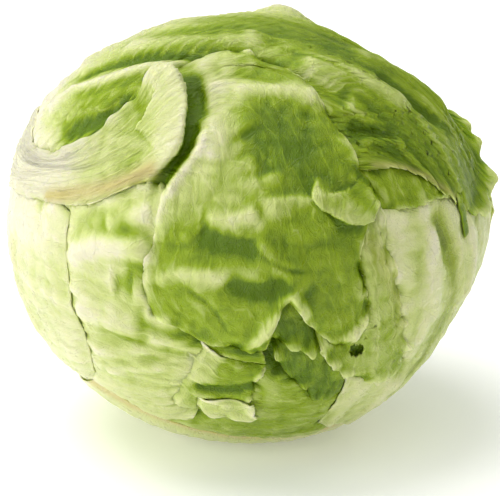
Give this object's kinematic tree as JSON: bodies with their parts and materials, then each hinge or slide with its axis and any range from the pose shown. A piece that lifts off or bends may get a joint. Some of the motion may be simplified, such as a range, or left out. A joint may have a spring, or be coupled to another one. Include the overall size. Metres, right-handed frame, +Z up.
{
  "type": "head of lettuce",
  "caption": "Round head of crisp lettuce lying on its side: crinkled outer leaves wrapped over tighter inner leaves, a heart and a cut stem.",
  "frame": {"origin": "middle of the head's box, on the surface it rests on", "axes": "+X to the right seen from the front, +Y towards the back where the stem is, +Z up"},
  "size_m": [0.1697, 0.159, 0.1498],
  "materials": {
    "outer_leaf": "waxy green leaf, pale cream at the ribs and the base, soft highlights",
    "inner_leaf": "pale yellow-green leaf",
    "heart": "pale yellow leaf bud",
    "stem": "matte off-white cut stem, browned at the rim"
  },
  "bodies": {
    "root": {"front_leaf": "outer_leaf", "top_leaf": "outer_leaf", "under_leaf": "outer_leaf", "side_leaf": "outer_leaf", "back_leaf": "outer_leaf", "shoulder_leaf": "outer_leaf", "cheek_leaf": "outer_leaf", "collar_leaf": "outer_leaf", "right_leaf": "outer_leaf", "lip_leaf": "outer_leaf", "tongue_leaf": "outer_leaf", "chin_leaf": "outer_leaf", "inner_leaf_1": "inner_leaf", "inner_leaf_2": "inner_leaf", "inner_leaf_3": "inner_leaf", "inner_leaf_4": "inner_leaf", "inner_leaf_5": "inner_leaf", "inner_leaf_6": "inner_leaf", "inner_leaf_7": "inner_leaf", "heart_bud": "heart", "stem": "stem"}
  },
  "joints": []
}
